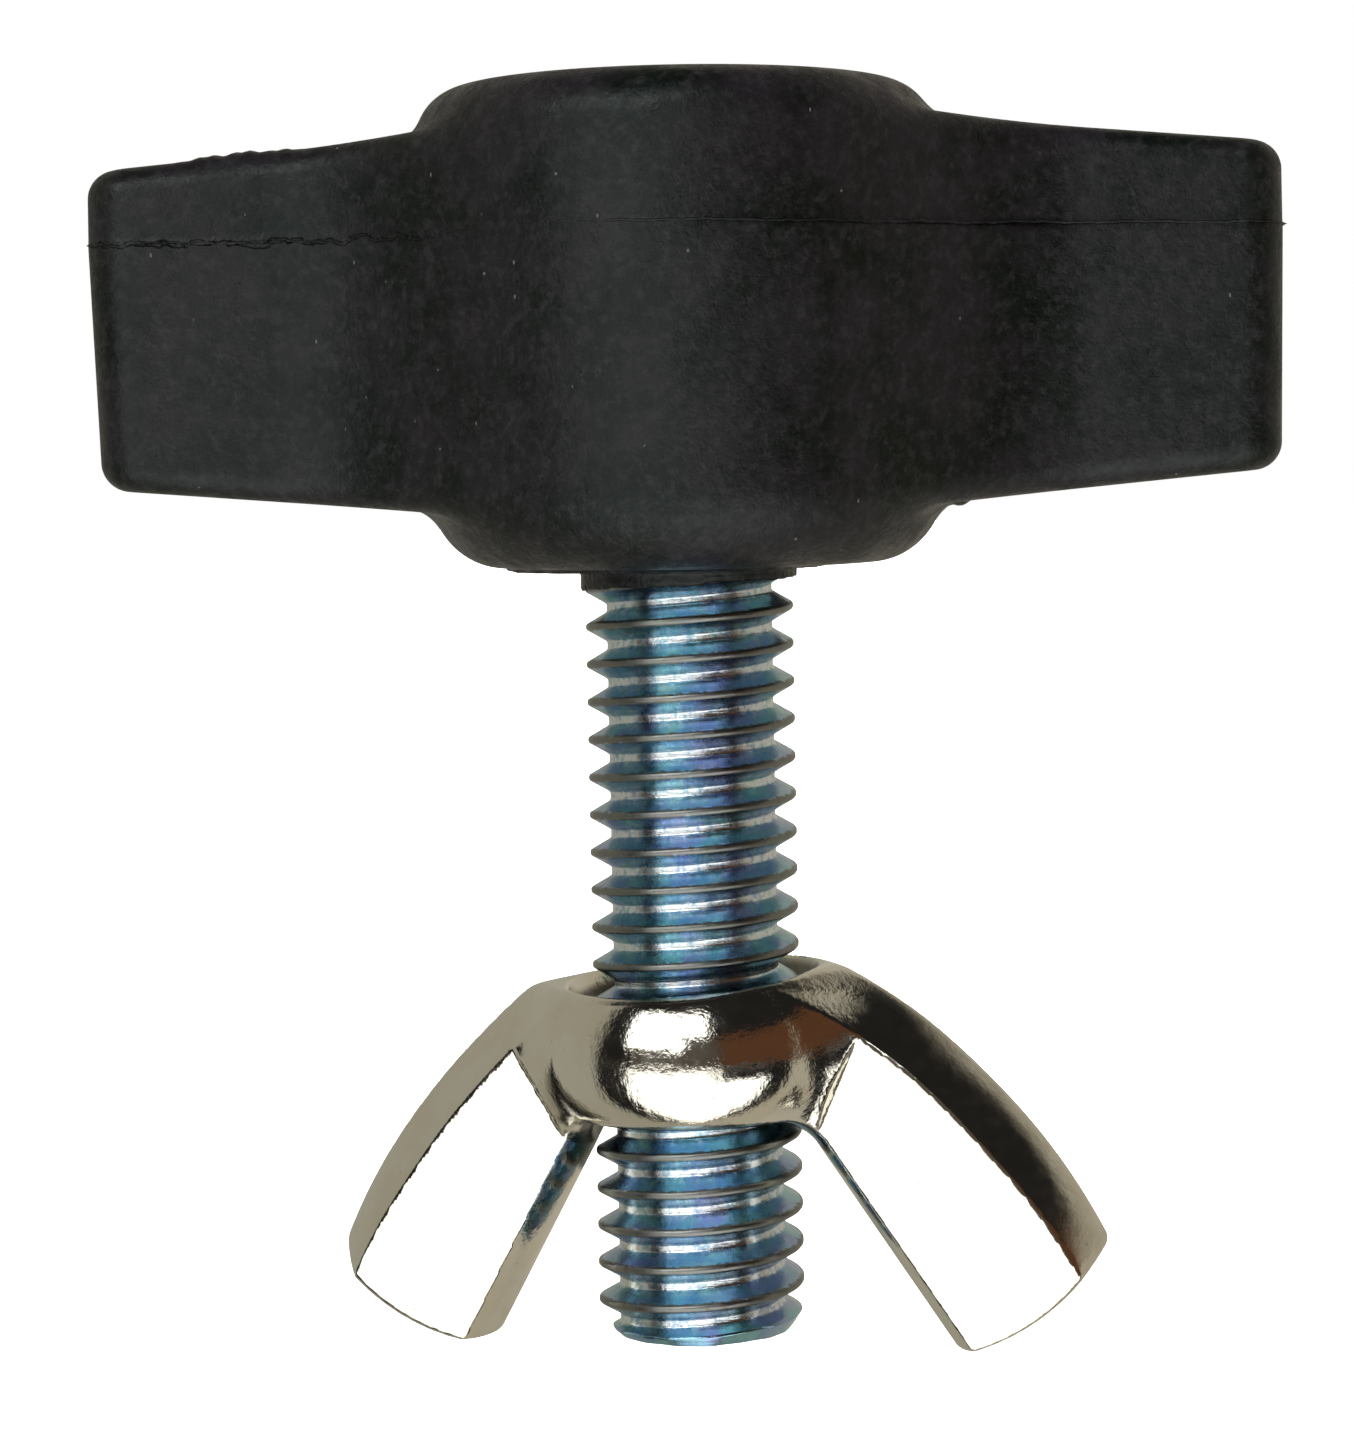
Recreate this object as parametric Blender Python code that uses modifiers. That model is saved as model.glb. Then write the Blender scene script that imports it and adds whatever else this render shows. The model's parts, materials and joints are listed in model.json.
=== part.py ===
"""Wing knob with a moulded-in threaded stud, and a wing nut screwed onto the stud.

Frame: the origin is the centre of the stud's free end and +Z runs up the stud to the knob. +X runs
along the knob's wings and -Y is the front. Metres.
"""

import math

import bmesh
import bpy

MM = 0.001

# Thread of the stud: 5/16-18 UNC, right-handed.
PITCH = 25.4 / 18 * MM
MAJOR_RADIUS = 3.89 * MM
MINOR_RADIUS = 3.10 * MM
CREST_HALF_WIDTH = 0.10 * MM
FLANK_SLOPE = math.tan(math.radians(30))
THREAD_TURNS = 21
THREAD_STEPS = 20
CREST_AT_LEFT = 0.69  # height of a crest at -X, as a share of the pitch
RIDGE_KNEE_DEPTH = 0.08 * MM  # the ridge's flanks end this far inside the minor radius
RIDGE_ROOT_DEPTH = 0.25 * MM
THREAD_END = 27.55 * MM
TIP_RADIUS = 2.95 * MM

# Stud: a hex bolt whose head is buried in the knob.
STUD_LENGTH = 38.1 * MM
HEAD_ACROSS_FLATS = 12.7 * MM
HEAD_HEIGHT = 5.2 * MM

# Knob: a round hub with two wings.
HUB_BOTTOM = 28.575 * MM
HUB_HEIGHT = 17.95 * MM
HUB_RADIUS = 9.65 * MM
HUB_TOP_ROUND = 1.9 * MM
HUB_BOTTOM_ROUND = 1.7 * MM
COLLAR_RADIUS = 4.05 * MM
COLLAR_DROP = 0.75 * MM
WING_REACH = 22.225 * MM
WING_HALF_THICKNESS_ROOT = 2.6 * MM
WING_HALF_THICKNESS_TIP = 2.3 * MM
WING_FILLET = 6.2 * MM
WING_EDGE_ROUND = 1.7 * MM
WING_TIP_BOTTOM = 3.3 * MM  # above the hub's bottom
WING_TIP_TOP = 15.2 * MM
WING_SLOPE = 0.085
WING_CORNER = 1.0 * MM

# Wing nut. A wing's back and end are arcs, with centres as (distance from the axis, height).
NUT_TOP = 13.15 * MM
NUT_HUB_HEIGHT = 5.15 * MM
NUT_TOP_RADIUS = 5.30 * MM
NUT_BELLY_RADIUS = 5.95 * MM
NUT_BOTTOM_RADIUS = 5.05 * MM
NUT_BELLY_DROP = 2.2 * MM
NUT_TURN = math.radians(-14)
NUT_WING_HALF_THICKNESS = 2.1 * MM
NUT_WING_DROP = 0.1 * MM  # the wings' backs leave the hub this far below its top
NUT_BACK_CENTRE = (-3.94 * MM, -4.31 * MM)
NUT_BACK_RADIUS = 20.14 * MM
NUT_END_CENTRE = (7.66 * MM, 7.7 * MM)
NUT_END_RADIUS = 8.4 * MM
NUT_HEEL_ANGLE = -82
NUT_NOTCH = (4.3 * MM, 7.3 * MM)
NUT_CORE_BORE = 4.05 * MM
NUT_CORE_RADIUS = 4.50 * MM
NUT_CORE_MOUTH = 4.35 * MM
NUT_BORE = 4.72 * MM

GAP = 0.3 * MM
ROUND_STEPS = 48
BELLY_STEPS = 4


def clear_scene():
    for item in list(bpy.data.objects):
        bpy.data.objects.remove(item, do_unlink=True)


def new_collection(name):
    group = bpy.data.collections.new(name)
    bpy.context.scene.collection.children.link(group)
    return group


def new_material(name, colour, roughness, metallic):
    material = bpy.data.materials.new(name)
    material.use_nodes = True
    shader = material.node_tree.nodes["Principled BSDF"]
    shader.inputs["Base Color"].default_value = (*colour, 1)
    shader.inputs["Roughness"].default_value = roughness
    shader.inputs["Metallic"].default_value = metallic
    return material


def place(item, group, cutter=False):
    """Link an object to its collection; a cutter is drawn as wire and never rendered."""
    group.objects.link(item)
    if cutter:
        item.hide_render = True
        item.display_type = "WIRE"
    return item


def arc(centre, radius, start, end, steps):
    """Points of a circular arc, both ends included, with the angles in degrees."""
    points = []
    for i in range(steps + 1):
        a = math.radians(start + (end - start) * i / steps)
        points.append((centre[0] + radius * math.cos(a), centre[1] + radius * math.sin(a)))
    return points


def rounded(corners, steps=5):
    """A closed outline from corners of (x, y, radius), each rounded by an arc of its radius."""
    outline = []
    for i, (x, y, radius) in enumerate(corners):
        if radius == 0:
            outline.append((x, y))
            continue
        before = corners[i - 1]
        after = corners[(i + 1) % len(corners)]
        to_before = math.atan2(before[1] - y, before[0] - x)
        to_after = math.atan2(after[1] - y, after[0] - x)
        opening = (to_after - to_before + math.pi) % (2 * math.pi) - math.pi
        middle = to_before + opening / 2
        reach = radius / math.sin(abs(opening) / 2)
        centre = (x + reach * math.cos(middle), y + reach * math.sin(middle))
        half = math.degrees(math.pi / 2 - abs(opening) / 2)
        away = math.degrees(middle) + 180
        turn = half if opening < 0 else -half
        outline += arc(centre, radius, away - turn, away + turn, steps)
    return outline


def turned(name, profile, steps=ROUND_STEPS, closed=False):
    """A solid of revolution about Z from a profile of (radius, height) down its outer side."""
    count = len(profile)
    edges = [(i, i + 1) for i in range(count - 1)]
    if closed:
        edges.append((count - 1, 0))
    mesh = bpy.data.meshes.new(name)
    mesh.from_pydata([(r, 0, z) for r, z in profile], edges, [])
    item = bpy.data.objects.new(name, mesh)
    screw = item.modifiers.new("turn", "SCREW")
    screw.axis = "Z"
    screw.angle = 2 * math.pi
    screw.steps = screw.render_steps = steps
    screw.use_merge_vertices = True
    screw.merge_threshold = 0.00001
    return item


def as_mesh(item, close_ends=False):
    """The evaluated object as a welded mesh object in its place; the source is removed."""
    bpy.context.view_layer.update()
    evaluated = item.evaluated_get(bpy.context.evaluated_depsgraph_get())
    mesh = bpy.data.meshes.new_from_object(evaluated)
    shape = bmesh.new()
    shape.from_mesh(mesh)
    bmesh.ops.remove_doubles(shape, verts=shape.verts, dist=0.000001)
    if close_ends:
        bmesh.ops.holes_fill(shape, edges=shape.edges)
    bmesh.ops.recalc_face_normals(shape, faces=shape.faces)
    shape.to_mesh(mesh)
    shape.free()
    name, matrix = item.name, item.matrix_world.copy()
    bpy.data.objects.remove(item, do_unlink=True)
    solid = bpy.data.objects.new(name, mesh)
    solid.matrix_world = matrix
    return solid


def plate(name, outline, half_thickness, group, upright=False):
    """A flat outline of (x, y), or of (x, z) if it stands upright, given a thickness."""
    curve = bpy.data.curves.new(name, "CURVE")
    curve.dimensions = "2D"
    curve.fill_mode = "BOTH"
    curve.extrude = half_thickness
    spline = curve.splines.new("POLY")
    spline.points.add(len(outline) - 1)
    for point, (x, y) in zip(spline.points, outline):
        point.co = (x, y, 0, 1)
    spline.use_cyclic_u = True
    item = place(bpy.data.objects.new(name, curve), group, cutter=True)
    if upright:
        item.rotation_euler.x = math.pi / 2
    return place(as_mesh(item), group, cutter=True)


def combine(item, other, operation):
    """Union, difference or intersection with another solid, kept as a modifier."""
    boolean = item.modifiers.new(operation.lower(), "BOOLEAN")
    boolean.operation = operation
    boolean.object = other
    boolean.solver = "EXACT"


def finish(item, group, material, smooth_angle=35):
    item.data.materials.append(material)
    place(item, group)
    bpy.context.view_layer.update()
    item.data.shade_smooth()
    item.data.set_sharp_from_angle(angle=math.radians(smooth_angle))


def knob_wing_plan():
    """Plan outline of both wings, with concave fillets that are tangent to the hub."""
    root, tip = WING_HALF_THICKNESS_ROOT, WING_HALF_THICKNESS_TIP
    centre_y = root + WING_FILLET
    centre_x = math.sqrt((HUB_RADIUS + WING_FILLET) ** 2 - centre_y**2)
    towards_hub = math.degrees(math.atan2(-centre_y, -centre_x))
    fillet = arc((centre_x, centre_y), WING_FILLET, towards_hub, -90, 6)
    corner_centre = (WING_REACH - WING_EDGE_ROUND, tip - WING_EDGE_ROUND)
    corner = arc(corner_centre, WING_EDGE_ROUND, 90, 0, 5)
    quarter = fillet + corner
    front_right = [(x, -y) for x, y in reversed(quarter)]
    front_left = [(-x, -y) for x, y in quarter]
    back_left = [(-x, y) for x, y in reversed(quarter)]
    return quarter + front_right + front_left + back_left


def knob_wing_side():
    """Side outline of both wings: each tapers towards its tip, above and below."""
    drop = WING_SLOPE * WING_REACH
    bottom = HUB_BOTTOM + WING_TIP_BOTTOM
    top = HUB_BOTTOM + WING_TIP_TOP
    corners = [
        (0, top + drop, 0),
        (WING_REACH, top, WING_CORNER),
        (WING_REACH, bottom, WING_CORNER),
        (0, bottom - drop, 0),
        (-WING_REACH, bottom, WING_CORNER),
        (-WING_REACH, top, WING_CORNER),
    ]
    return rounded(corners, 3)


def make_knob(group, cutters, material):
    """The black moulding: hub, two wings and a thin collar around the stud's root."""
    top = HUB_BOTTOM + HUB_HEIGHT
    top_centre = (HUB_RADIUS - HUB_TOP_ROUND, top - HUB_TOP_ROUND)
    bottom_centre = (HUB_RADIUS - HUB_BOTTOM_ROUND, HUB_BOTTOM + HUB_BOTTOM_ROUND)
    profile = [(0, top)]
    profile += arc(top_centre, HUB_TOP_ROUND, 90, 0, 4)
    profile += arc(bottom_centre, HUB_BOTTOM_ROUND, 0, -90, 4)
    profile += [(COLLAR_RADIUS, HUB_BOTTOM), (COLLAR_RADIUS, HUB_BOTTOM - COLLAR_DROP)]
    profile += [(0, HUB_BOTTOM - COLLAR_DROP)]
    knob = turned("knob_body", profile)

    middle = HUB_BOTTOM + HUB_HEIGHT / 2
    wings = plate("wing_plan", knob_wing_plan(), HUB_HEIGHT, cutters)
    wings.location.z = middle
    side = plate("wing_side", knob_wing_side(), HUB_RADIUS, cutters, upright=True)
    combine(wings, side, "INTERSECT")
    combine(knob, wings, "UNION")

    neck_hole = turned("neck_hole", cylinder(MINOR_RADIUS + GAP, STUD_LENGTH, HUB_BOTTOM / 2))
    combine(knob, place(neck_hole, cutters, cutter=True), "DIFFERENCE")
    pocket = hexagon("head_pocket", STUD_LENGTH - GAP, HEAD_HEIGHT + 2 * GAP, GAP)
    combine(knob, place(pocket, cutters, cutter=True), "DIFFERENCE")
    finish(knob, group, material)


def cylinder(radius, top, bottom):
    return [(0, top), (radius, top), (radius, bottom), (0, bottom)]


def hexagon(name, bottom, height, margin):
    """The bolt head, or with a margin the space it sits in."""
    mesh = bpy.data.meshes.new(name)
    shape = bmesh.new()
    radius = (HEAD_ACROSS_FLATS / 2 + margin) / math.cos(math.pi / 6)
    bmesh.ops.create_cone(
        shape, cap_ends=True, segments=6, radius1=radius, radius2=radius, depth=height
    )
    bmesh.ops.translate(shape, verts=shape.verts, vec=(0, 0, bottom + height / 2))
    shape.to_mesh(mesh)
    shape.free()
    return bpy.data.objects.new(name, mesh)


def thread_ridge(cutters):
    """The helical ridge: a trapezium on a 60 degree thread form, turned and raised."""
    inner = MINOR_RADIUS - RIDGE_ROOT_DEPTH
    knee = MINOR_RADIUS - RIDGE_KNEE_DEPTH
    base = CREST_HALF_WIDTH + (MAJOR_RADIUS - knee) * FLANK_SLOPE
    start = (CREST_AT_LEFT - 0.5 - 1) * PITCH
    section = [
        (inner, start + base),
        (knee, start + base),
        (MAJOR_RADIUS, start + CREST_HALF_WIDTH),
        (MAJOR_RADIUS, start - CREST_HALF_WIDTH),
        (knee, start - base),
        (inner, start - base),
    ]
    ridge = turned("thread_ridge", section, THREAD_STEPS, closed=True)
    screw = ridge.modifiers["turn"]
    screw.screw_offset = PITCH
    screw.iterations = THREAD_TURNS
    screw.use_merge_vertices = False
    place(ridge, cutters, cutter=True)
    ridge = place(as_mesh(ridge, close_ends=True), cutters, cutter=True)

    outside = MAJOR_RADIUS + GAP
    chamfer = outside - TIP_RADIUS
    profile = [(0, THREAD_END), (outside, THREAD_END), (outside, chamfer), (TIP_RADIUS, 0), (0, 0)]
    envelope = place(turned("thread_envelope", profile), cutters, cutter=True)
    combine(ridge, envelope, "INTERSECT")
    return ridge


def make_stud(group, cutters, material):
    """The hex bolt: its threaded length shows, and its neck and head are inside the knob."""
    step = MINOR_RADIUS - TIP_RADIUS
    profile = cylinder(MINOR_RADIUS, STUD_LENGTH + GAP, step)[:-1]
    profile += [(TIP_RADIUS, 0), (0, 0)]
    stud = turned("stud", profile, THREAD_STEPS)
    combine(stud, thread_ridge(cutters), "UNION")
    head = place(hexagon("head", STUD_LENGTH, HEAD_HEIGHT, 0), cutters, cutter=True)
    combine(stud, head, "UNION")
    finish(stud, group, material)


def crossing(centre, radius, other, other_radius):
    """The lower right crossing of two circles."""
    dx, dy = other[0] - centre[0], other[1] - centre[1]
    apart = math.hypot(dx, dy)
    along = (radius**2 - other_radius**2 + apart**2) / (2 * apart)
    aside = math.sqrt(radius**2 - along**2)
    x = centre[0] + (along * dx + aside * dy) / apart
    return x, centre[1] + (along * dy - aside * dx) / apart


def direction(centre, point):
    return math.degrees(math.atan2(point[1] - centre[1], point[0] - centre[0]))


def nut_wing_outline():
    """Side outline of one wing of the nut: it leaves the hub's shoulder and sweeps down."""
    tip = crossing(NUT_BACK_CENTRE, NUT_BACK_RADIUS, NUT_END_CENTRE, NUT_END_RADIUS)
    top = NUT_TOP - NUT_WING_DROP
    start = math.degrees(math.asin((top - NUT_BACK_CENTRE[1]) / NUT_BACK_RADIUS))
    back = arc(NUT_BACK_CENTRE, NUT_BACK_RADIUS, start, direction(NUT_BACK_CENTRE, tip), 9)
    end = arc(NUT_END_CENTRE, NUT_END_RADIUS, direction(NUT_END_CENTRE, tip), NUT_HEEL_ANGLE, 6)
    return [(0, NUT_NOTCH[1]), (0, top)] + back + end[1:] + [NUT_NOTCH]


def make_wing_nut(group, cutters, material):
    """The nut's casting: a bowl-shaped hub with two downswept wings, open along the axis."""
    top_round = NUT_BELLY_RADIUS - NUT_TOP_RADIUS
    shoulder = (NUT_TOP_RADIUS, NUT_TOP - top_round)
    belly = NUT_TOP - NUT_BELLY_DROP
    bottom = NUT_TOP - NUT_HUB_HEIGHT
    profile = [(0, NUT_TOP)]
    profile += arc(shoulder, top_round, 90, 0, 4)
    profile += [(NUT_BELLY_RADIUS, belly)]
    for i in range(1, BELLY_STEPS + 1):
        share = i / BELLY_STEPS
        inward = (NUT_BELLY_RADIUS - NUT_BOTTOM_RADIUS) * math.sin(share * math.pi / 2) ** 3
        profile.append((NUT_BELLY_RADIUS - inward, belly + (bottom - belly) * share))
    profile += [(0, bottom)]
    nut = turned("wing_nut", profile)
    nut.rotation_euler.z = NUT_TURN
    right = nut_wing_outline()
    left = [(-x, z) for x, z in right]
    for name, outline in (("nut_wing_right", right), ("nut_wing_left", left)):
        wing = plate(name, outline, NUT_WING_HALF_THICKNESS, cutters, upright=True)
        wing.rotation_euler.z = NUT_TURN
        combine(nut, wing, "UNION")
    bore = turned("nut_bore", cylinder(NUT_BORE, NUT_TOP + GAP, 0))
    combine(nut, place(bore, cutters, cutter=True), "DIFFERENCE")
    finish(nut, group, material)


def make_nut_core(group, material):
    """The ring of the nut around the stud's thread, which the casting turns about."""
    top = NUT_TOP
    bottom = NUT_TOP - NUT_HUB_HEIGHT
    mouth_depth = NUT_CORE_MOUTH - NUT_CORE_BORE
    profile = [
        (NUT_CORE_MOUTH, top),
        (NUT_CORE_RADIUS, top),
        (NUT_CORE_RADIUS, bottom),
        (NUT_CORE_BORE, bottom),
        (NUT_CORE_BORE, top - mouth_depth),
    ]
    core = turned("wing_nut_core", profile, closed=True)
    core.rotation_euler.z = NUT_TURN
    finish(core, group, material)


def main():
    clear_scene()
    part = new_collection("wing_knob_with_wing_nut")
    cutters = new_collection("cutters")
    plastic = new_material("black_plastic", (0.018, 0.019, 0.018), 0.5, 0.0)
    zinc = new_material("blue_zinc", (0.36, 0.50, 0.62), 0.3, 1.0)
    nickel = new_material("nickel", (0.66, 0.62, 0.52), 0.22, 1.0)
    core_nickel = new_material("nickel_core", (0.60, 0.57, 0.50), 0.3, 1.0)
    make_knob(part, cutters, plastic)
    make_stud(part, cutters, zinc)
    make_wing_nut(part, cutters, nickel)
    make_nut_core(part, core_nickel)
    bpy.context.view_layer.update()


main()
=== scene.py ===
"""Looks for a black wing knob with a blue zinc-plated stud, and the nickel-plated wing nut on it.

Shapes are worked out in millimetres in the CAD's frame: the origin is the centre of the stud's free
end, +Z runs up the stud to the knob, +X along the knob's wings, and -Y is the front.
"""

import json
import math

import bpy
import numpy as np
from mathutils import Matrix, Vector


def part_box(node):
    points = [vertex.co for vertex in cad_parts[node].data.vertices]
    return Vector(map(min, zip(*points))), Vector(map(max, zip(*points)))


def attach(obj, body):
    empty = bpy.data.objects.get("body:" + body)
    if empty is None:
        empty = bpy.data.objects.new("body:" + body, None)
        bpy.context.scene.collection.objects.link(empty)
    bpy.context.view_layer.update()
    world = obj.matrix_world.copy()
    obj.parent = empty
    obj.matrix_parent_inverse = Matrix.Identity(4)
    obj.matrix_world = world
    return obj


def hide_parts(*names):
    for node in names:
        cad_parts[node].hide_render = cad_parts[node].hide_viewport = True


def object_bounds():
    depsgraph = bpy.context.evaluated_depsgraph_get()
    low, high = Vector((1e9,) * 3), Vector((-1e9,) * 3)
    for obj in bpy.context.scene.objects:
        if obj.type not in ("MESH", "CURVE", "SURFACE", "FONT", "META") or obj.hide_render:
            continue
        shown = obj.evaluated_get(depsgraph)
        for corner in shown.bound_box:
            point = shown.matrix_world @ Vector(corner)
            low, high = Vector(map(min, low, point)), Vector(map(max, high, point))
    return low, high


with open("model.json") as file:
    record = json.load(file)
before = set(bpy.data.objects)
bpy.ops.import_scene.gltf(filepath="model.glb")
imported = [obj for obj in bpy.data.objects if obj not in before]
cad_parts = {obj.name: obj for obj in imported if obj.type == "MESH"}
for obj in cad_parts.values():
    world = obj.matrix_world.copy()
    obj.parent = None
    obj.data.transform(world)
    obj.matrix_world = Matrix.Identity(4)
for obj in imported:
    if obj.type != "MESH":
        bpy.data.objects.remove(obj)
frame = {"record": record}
cad_low, cad_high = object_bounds()

MM = 0.001

# Thread of the stud and the nut: 5/16-18 UNC, right-handed.
PITCH = 25.4 / 18
CREST_AT_LEFT = 0.69  # height of a crest at -X, as a share of the pitch
MAJOR = 3.89
MINOR = 3.10
CREST_HALF_WIDTH = 0.10
CREST_CURVE = 0.35
ROOT_CURVE = 0.25

# Hub and collar of the knob. Heights are above the hub's bottom.
HUB_HEIGHT = 17.95
HUB_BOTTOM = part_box("knob_body")[1].z / MM - HUB_HEIGHT
HUB_RADIUS = 9.65
HUB_DOME = 0.22
HUB_TOP_ROUND = 1.8
HUB_BOTTOM_ROUND = 2.5
HUB_DRAFT = 0.6  # the hub's draft, as a share of the wings'
FOOT_RADIUS = 4.5  # the hub's bottom is flat inside this radius and rises outside it
FOOT_RIM = 5.15
FOOT_RISE = 0.35
PARTING = 12.3
DRAFT = 0.012
MOULD_STEP_X = 0.22  # the upper mould half is this far out of line with the lower
MOULD_STEP_Y = 0.07
MOULD_STEP_HALF_HEIGHT = 0.08
COLLAR_RADIUS = 4.05
COLLAR_END = -0.60
COLLAR_TILT = 0.045
SHEET_RADIUS = 5.9  # the thin sheet of flash round the collar, which reaches further at the left
SHEET_SHIFT = 0.9
SHEET_MIDDLE = 0.02
SHEET_HALF_THICKNESS = 0.09
SHEET_FILLET = 0.12
SOCKET_RADIUS = MINOR + 0.1
SOCKET_DEPTH = 6  # the moulding is closed above this height; the stud fills the socket below it

# Wings of the knob.
WING_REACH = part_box("knob_body")[1].x / MM
WING_HALF_THICKNESS = 2.75
WING_TAPER = 0.02
WING_END_ROUND = 1.7
WING_EDGE_ROUND = 0.95
WING_FILLET = 5.6
WING_ROOT_FILLET = 0.7
WING_TIP_TOP = 15.28
WING_TIP_BOTTOM = 3.3
WING_SLOPE = 0.085
LEFT_WING_SHORT = 0.22
LEFT_WING_UNDERCUT = 0.02
LEFT_WING_DROP = 0.36

# Lumps of flash on the knob: centre, half sizes, fillet, and 1 for a torn one, whose height wavers.
LUMPS = (
    ((-15.3, -1.2, 15.25), (1.5, 0.5, 0.3), 0.3, 1),
    ((-16.7, -1.4, 15.1), (1.0, 0.4, 0.24), 0.3, 1),
    ((10.05, -1.55, 2.45), (0.42, 0.5, 0.36), 0.1, 0),
)

# Line of flash round the parting plane. Its section has points of (inward, height, share of its reach).
FLASH_STEPS = 1600
FLASH_REACH = 0.055
FLASH_SPIKE = 0.13  # added at the right wing's end
FLASH_SPIKE_SPREAD = 0.8
FLASH_SECTION = ((0.3, -0.08, 0), (0, -0.05, 0.1), (0, 0, 1), (0.02, 0.05, 0.1), (0.3, 0.08, 0))

# End of the stud.
TIP_RADIUS = 3.36
TIP_DROP = -0.2
TIP_SLOPE = 0.65
TIP_STANDING = 0.03  # the end face stands this far out of the thread's groove

# Wing nut. Centres and edges of its wings are (distance from the nut's axis, height).
NUT_LOWEST_TRAVEL = frame["record"]["behaviour"]["joints"][0]["range_m"][0]
NUT_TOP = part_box("wing_nut_core")[1].z / MM
NUT_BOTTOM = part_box("wing_nut_core")[0].z / MM
NUT_TURN = math.radians(-14)
NUT_LEAN = math.radians(3.4)
NUT_LEAN_HEIGHT = 10.8
NUT_NOD = math.radians(2.0)
NUT_RIM = 0.3  # the hub's top stands this far above NUT_TOP before the bearing face cuts it
NUT_TOP_SLOPE = 0.045
NUT_BELLY = 10.35
NUT_UPPER_BOWL = (1.18, 4.77)
NUT_LOWER_BOWL = (3.25, 2.7)
NUT_HUB_FILLET = 1.5
NUT_HALF_THICKNESS = 2.1
NUT_CHAMFER = math.radians(44)
NUT_FLANK = math.radians(64)
NUT_FLANK_RIDGE = 0.3
NUT_BEVEL_INSET = 1.6
NUT_BEVEL_NARROWING = 0.75  # towards the wing's tip
NUT_RIM_ROUND = 0.8
NUT_BACK_CENTRE = (-7.42, -7.2)
NUT_BACK_RADIUS = 24.67
NUT_BACK_UNEVEN = 0.1  # added on the right wing and taken off the left
NUT_END_CENTRE = (7.66, 7.7)
NUT_END_RADIUS = 8.45
NUT_END_UNEVEN = 0.4
NUT_INNER_EDGE = ((9.0, -0.75), (4.1, 7.25))
NUT_INNER_INSET = 0.85
NUT_INNER_ROUND = 0.9
NUT_FACET_END = ((5.0, 7.75), (6.55, 10.85))  # the flat face ends here, beside the hub
NUT_FACET_SLANT = (0.31, 0.95)  # normal of the slope from the flat face up to the hub
NUT_MOUTH_RADIUS = 4.72
NUT_MOUTH_SLOPE = 0.45
NUT_FOOT_RADIUS = 4.0
NUT_THREAD_GAP = 0.12
NUT_BORE_RADIUS = 3.3
NUT_SMALL_ROUND = 0.25

# Grid steps of the two meshes that come from distance functions.
KNOB_STEP = 0.17
NUT_STEP = 0.14


# ---------------------------------------------------------------- meshes from distance functions

def round_cut(a, b, radius):
    """Intersection of two distances, with the edge between them rounded."""
    corner = np.hypot(np.maximum(radius + a, 0), np.maximum(radius + b, 0))
    return np.minimum(-radius, np.maximum(a, b)) + corner


def round_join(a, b, radius):
    """Union of two distances, with a fillet in the corner between them."""
    corner = np.hypot(np.maximum(radius - a, 0), np.maximum(radius - b, 0))
    return np.maximum(radius, np.minimum(a, b)) - corner


def smooth_step(low, high, value):
    t = np.clip((value - low) / (high - low), 0, 1)
    return t * t * (3 - 2 * t)


def waves(angle, *terms):
    """A sum of sines of an angle, from terms of (waves, phase, size)."""
    return sum(size * np.sin(number * angle + phase) for number, phase, size in terms)


def half_plane(line, x, z):
    """Signed distance to a line of two points in the XZ plane, negative on its right."""
    (start_x, start_z), (end_x, end_z) = line
    dx = end_x - start_x
    dz = end_z - start_z
    return ((z - start_z) * dx - (x - start_x) * dz) / math.hypot(dx, dz)


def onto_surface(distance, points, step, rounds=4):
    """Moves points along the distance's gradient until they lie on its zero level."""
    h = 0.02 * step
    farthest = 0.6 * step
    flattest = 0.05
    for _ in range(rounds):
        x, y, z = points.T
        value = distance(x, y, z)
        gradient = np.stack(
            [
                distance(x + h, y, z) - distance(x - h, y, z),
                distance(x, y + h, z) - distance(x, y - h, z),
                distance(x, y, z + h) - distance(x, y, z - h),
            ],
            axis=1,
        ) / (2 * h)
        size = np.maximum((gradient**2).sum(1), flattest)
        move = (value / size)[:, None] * gradient
        points = points - np.clip(move, -farthest, farthest)
    return points


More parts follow.
